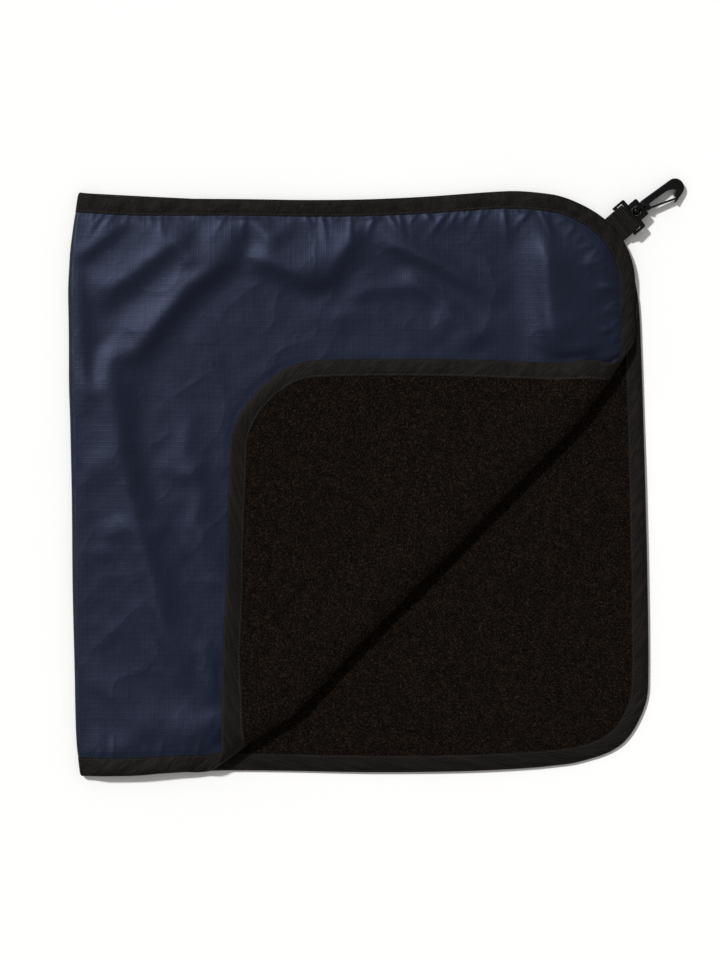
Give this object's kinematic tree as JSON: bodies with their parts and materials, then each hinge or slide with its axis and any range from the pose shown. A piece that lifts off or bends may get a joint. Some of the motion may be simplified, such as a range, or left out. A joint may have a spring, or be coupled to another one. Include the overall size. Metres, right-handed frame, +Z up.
{
  "type": "quick dry towel",
  "caption": "Towel folded in half with one corner turned back: ripstop shell, terry lining, bound rounded edges, and a swivel snap hook on a webbing tab.",
  "frame": {"origin": "middle of the lower leaf's underside, half way between the fold and the free edge, on the plane that the folded towel lies on", "axes": "+Z up, away from the surface; +X from the half fold to the free edges; +Y towards the edge that the hook's corner is on"},
  "size_m": [0.5308, 0.5187, 0.0166],
  "materials": {
    "ripstop_shell": "thin woven ripstop, slight sheen",
    "towelling": "looped terry, matt",
    "binding": "plain woven tape, matt",
    "webbing": "ribbed webbing, matt",
    "thread": "sewing thread",
    "hook_plastic": "satin moulded plastic"
  },
  "bodies": {
    "lower_leaf": {"lower_shell": "ripstop_shell", "lower_towelling": "towelling", "lower_binding": "binding", "lower_seam_thread": "thread", "fold_shell": "ripstop_shell", "fold_towelling": "towelling", "fold_binding": "binding"},
    "upper_leaf": {"upper_shell": "ripstop_shell", "upper_towelling": "towelling", "upper_binding": "binding", "upper_seam_thread": "thread", "tab_root": "webbing", "crease_shell": "ripstop_shell", "crease_towelling": "towelling", "crease_binding": "binding"},
    "turned_corner": {"corner_shell": "ripstop_shell", "corner_towelling": "towelling", "corner_binding": "binding", "corner_seam_thread": "thread"},
    "webbing": {"webbing_loop": "webbing"},
    "base": {"hook_base": "hook_plastic"},
    "hook": {"hook_body": "hook_plastic"},
    "gate": {"hook_gate": "hook_plastic"}
  },
  "joints": [
    {"name": "leaf_fold", "type": "hinge", "parent": "lower_leaf", "child": "upper_leaf", "pos_m": [-0.2462, 0, 0.0038], "axis": [0, -1, 0], "range_deg": [0, 178], "deforming": ["fold_shell", "fold_towelling", "fold_binding"]},
    {"name": "corner_fold", "type": "hinge", "parent": "upper_leaf", "child": "turned_corner", "pos_m": [0.06736, -0.06736, 0.0102], "axis": [0.7071, 0.7071, 0], "range_deg": [0, 179], "deforming": ["crease_shell", "crease_towelling", "crease_binding"]},
    {"name": "tab_flex", "type": "hinge", "parent": "upper_leaf", "child": "webbing", "pos_m": [0.2235, 0.22445, 0.00653], "axis": [-0.6494, 0.7604, 0], "range_deg": [-60, 5]},
    {"name": "base_swing", "type": "hinge", "parent": "webbing", "child": "base", "pos_m": [0.2293, 0.2294, 0.0076], "axis": [-0.6494, 0.7604, 0], "range_deg": [-110, 70]},
    {"name": "swivel", "type": "hinge", "parent": "base", "child": "hook", "pos_m": [0.23892, 0.23762, 0.00654], "axis": [0.8062, 0.5857, -0.0837], "continuous": true},
    {"name": "gate_press", "type": "hinge", "parent": "hook", "child": "gate", "pos_m": [0.25074, 0.24052, 0.00559], "axis": [0.0677, 0.0492, 0.9965], "range_deg": [0, 18], "stiffness_Nm_per_rad": 0.02, "springref_deg": -17.19}
  ]
}
